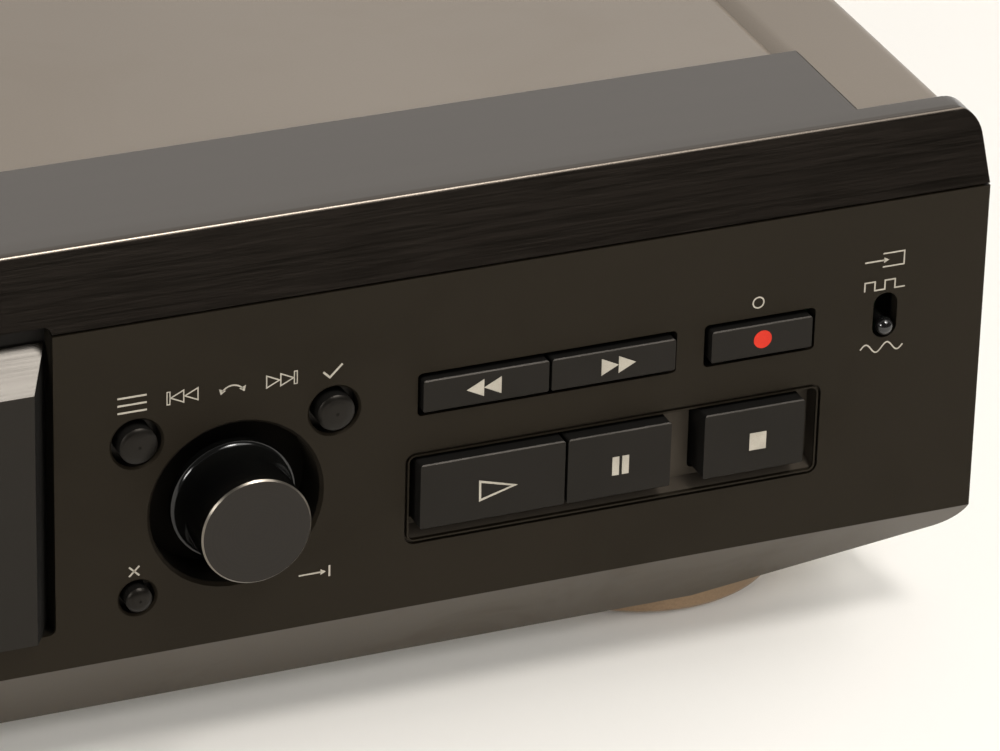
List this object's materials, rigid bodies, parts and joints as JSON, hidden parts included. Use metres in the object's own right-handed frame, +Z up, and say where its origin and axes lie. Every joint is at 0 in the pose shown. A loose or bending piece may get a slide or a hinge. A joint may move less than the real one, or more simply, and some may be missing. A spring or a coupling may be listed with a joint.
{
  "type": "minidisc deck",
  "caption": "Full-width hi-fi minidisc deck with a front disc slot over its display, push-and-turn knob, keys, steel cover and working loading mechanism.",
  "frame": {"origin": "on the floor, under the middle of the deck's outer box", "axes": "+X to the right seen from the front, -Y towards the person using it, +Z up"},
  "size_m": [0.43, 0.285, 0.095],
  "materials": {
    "cover_paint": "satin grained paint",
    "front_plastic": "fine matt grain",
    "brushed_trim": "dark, brushed along X",
    "bezel_plastic": "dark metal look, brushed",
    "knob_metal": "satin, dark",
    "key_plastic": "satin",
    "window_glass": "smoked",
    "lamp_plastic": "gloss",
    "ir_plastic": "gloss",
    "black_plastic": "plain",
    "foot_plastic": "satin",
    "foot_rubber": "matt",
    "zinc_steel": "zinc plated",
    "dark_steel": "matt",
    "screw_steel": "dark plated",
    "bright_steel": "ground",
    "circuit_board": "green mask",
    "brown_board": "brown laminate",
    "tube_glass": "clear",
    "socket_metal": "bright",
    "core_iron": "varnished",
    "can_sleeve": "printed sleeve",
    "heatsink_metal": "plain",
    "motor_steel": "plain",
    "white_plastic": "natural",
    "pinion_brass": "plain",
    "damper_rubber": "soft"
  },
  "bodies": {
    "case": {"bottom_chassis": "zinc_steel", "rear_panel": "dark_steel", "top_cover": "cover_paint", "front_fascia": "front_plastic", "fascia_trim": "brushed_trim", "feet": "foot_plastic", "foot_pads": "foot_rubber", "case_screws": "screw_steel", "bay_bezel": "bezel_plastic", "display_window": "window_glass", "jog_encoder": "black_plastic", "input_switch": "black_plastic", "standby_lamp": "lamp_plastic", "ir_window": "ir_plastic", "phones_jack": "black_plastic", "front_board": "circuit_board", "left_board": "circuit_board", "tact_switches": "black_plastic", "display_tube": "tube_glass", "display_board": "circuit_board", "phono_sockets": "socket_metal", "optical_sockets": "black_plastic", "mains_inlet": "black_plastic", "transformer": "core_iron", "power_board": "brown_board", "capacitors": "can_sleeve", "heatsink": "heatsink_metal", "main_board": "circuit_board", "mech_bracket": "zinc_steel", "mech_dampers": "damper_rubber", "mech_frame": "zinc_steel", "loading_motor": "motor_steel", "spindle_motor": "motor_steel", "sled_motor": "motor_steel", "guide_rods": "bright_steel"},
    "menu": {"menu_button": "key_plastic"},
    "yes": {"yes_button": "key_plastic"},
    "clear": {"clear_button": "key_plastic"},
    "rewind": {"rewind_button": "key_plastic"},
    "forward": {"forward_button": "key_plastic"},
    "record": {"record_button": "key_plastic"},
    "play": {"play_button": "key_plastic"},
    "pause": {"pause_button": "key_plastic"},
    "stop": {"stop_button": "key_plastic"},
    "power": {"power_button": "key_plastic"},
    "display": {"display_button": "key_plastic"},
    "eject": {"eject_button": "key_plastic"},
    "knob_sleeve": {"encoder_collar": "bright_steel"},
    "knob": {"jog_knob": "knob_metal", "encoder_shaft": "bright_steel"},
    "input_lever": {"input_lever": "motor_steel"},
    "slot_flap": {"slot_flap": "black_plastic"},
    "loading_slider": {"loading_slider": "white_plastic"},
    "cartridge_holder": {"cartridge_holder": "zinc_steel"},
    "loading_gear": {"loading_gear": "white_plastic"},
    "loading_pinion": {"loading_pinion": "pinion_brass"},
    "turntable": {"turntable": "heatsink_metal"},
    "pickup": {"pickup_sled": "black_plastic"},
    "lead_screw": {"lead_screw": "bright_steel"},
    "head_arm": {"head_arm": "heatsink_metal"}
  },
  "joints": [
    {"name": "menu_press", "type": "slide", "parent": "case", "child": "menu", "axis": [0, 1, 0], "range_m": [0, 0.0008], "stiffness_N_per_m": 250, "springref_m": -0.0005},
    {"name": "yes_press", "type": "slide", "parent": "case", "child": "yes", "axis": [0, 1, 0], "range_m": [0, 0.0008], "stiffness_N_per_m": 250, "springref_m": -0.0005},
    {"name": "clear_press", "type": "slide", "parent": "case", "child": "clear", "axis": [0, 1, 0], "range_m": [0, 0.0008], "stiffness_N_per_m": 250, "springref_m": -0.0005},
    {"name": "rewind_press", "type": "slide", "parent": "case", "child": "rewind", "axis": [0, 1, 0], "range_m": [0, 0.0008], "stiffness_N_per_m": 250, "springref_m": -0.0005},
    {"name": "forward_press", "type": "slide", "parent": "case", "child": "forward", "axis": [0, 1, 0], "range_m": [0, 0.0008], "stiffness_N_per_m": 250, "springref_m": -0.0005},
    {"name": "record_press", "type": "slide", "parent": "case", "child": "record", "axis": [0, 1, 0], "range_m": [0, 0.0008], "stiffness_N_per_m": 250, "springref_m": -0.0005},
    {"name": "play_press", "type": "slide", "parent": "case", "child": "play", "axis": [0, 1, 0], "range_m": [0, 0.0008], "stiffness_N_per_m": 250, "springref_m": -0.0005},
    {"name": "pause_press", "type": "slide", "parent": "case", "child": "pause", "axis": [0, 1, 0], "range_m": [0, 0.0008], "stiffness_N_per_m": 250, "springref_m": -0.0005},
    {"name": "stop_press", "type": "slide", "parent": "case", "child": "stop", "axis": [0, 1, 0], "range_m": [0, 0.0008], "stiffness_N_per_m": 250, "springref_m": -0.0005},
    {"name": "power_press", "type": "slide", "parent": "case", "child": "power", "axis": [0, 1, 0], "range_m": [0, 0.0008], "stiffness_N_per_m": 250, "springref_m": -0.0005},
    {"name": "display_press", "type": "slide", "parent": "case", "child": "display", "axis": [0, 1, 0], "range_m": [0, 0.0008], "stiffness_N_per_m": 250, "springref_m": -0.0005},
    {"name": "eject_press", "type": "slide", "parent": "case", "child": "eject", "axis": [0, 1, 0], "range_m": [0, 0.0008], "stiffness_N_per_m": 250, "springref_m": -0.0005},
    {"name": "knob_sleeve_press", "type": "slide", "parent": "case", "child": "knob_sleeve", "axis": [0, 1, 0], "range_m": [0, 0.0006], "stiffness_N_per_m": 400, "springref_m": -0.0005},
    {"name": "knob_turn", "type": "hinge", "parent": "knob_sleeve", "child": "knob", "pos_m": [0.08535, -0.1328, 0.0484], "axis": [0, -1, 0], "continuous": true},
    {"name": "input_lever_slide", "type": "slide", "parent": "case", "child": "input_lever", "axis": [0, 0, 1], "range_m": [0, 0.00405]},
    {"name": "slot_flap_hinge", "type": "hinge", "parent": "case", "child": "slot_flap", "pos_m": [-0.0196, -0.1254, 0.08504], "axis": [1, 0, 0], "range_deg": [0, 80], "stiffness_Nm_per_rad": 0.0004, "springref_deg": -28.65},
    {"name": "loading_slide", "type": "slide", "parent": "case", "child": "loading_slider", "axis": [0, -1, 0], "range_m": [0, 0.01]},
    {"name": "holder_drop", "type": "slide", "parent": "case", "child": "cartridge_holder", "axis": [0, 0, -1], "range_m": [0, 0.0041]},
    {"name": "loading_gear_turn", "type": "hinge", "parent": "case", "child": "loading_gear", "pos_m": [0.0114, -0.096, 0.064], "axis": [0, 0, -1], "range_deg": [0, 70]},
    {"name": "loading_pinion_turn", "type": "hinge", "parent": "case", "child": "loading_pinion", "pos_m": [-0.0012, -0.096, 0.064], "axis": [0, 0, 1], "range_deg": [0, 140]},
    {"name": "turntable_spin", "type": "hinge", "parent": "case", "child": "turntable", "pos_m": [-0.0196, -0.08, 0.07], "axis": [0, 0, 1], "continuous": true},
    {"name": "pickup_slide", "type": "slide", "parent": "case", "child": "pickup", "axis": [0, 1, 0], "range_m": [0, 0.0165]},
    {"name": "lead_screw_turn", "type": "hinge", "parent": "case", "child": "lead_screw", "pos_m": [0.0044, -0.045, 0.06604], "axis": [0, 1, 0], "continuous": true},
    {"name": "head_arm_lower", "type": "hinge", "parent": "pickup", "child": "head_arm", "pos_m": [-0.0196, -0.0435, 0.08609], "axis": [1, 0, 0], "range_deg": [0, 10], "stiffness_Nm_per_rad": 0.002, "springref_deg": -11.46}
  ],
  "couplings": [
    {"joint": "holder_drop", "follows": "loading_slide", "ratio": 0.4},
    {"joint": "loading_gear_turn", "follows": "loading_slide", "rad_per_m": 119.05},
    {"joint": "loading_pinion_turn", "follows": "loading_slide", "rad_per_m": 238.1},
    {"joint": "lead_screw_turn", "follows": "pickup_slide", "rad_per_m": 3141.6}
  ]
}
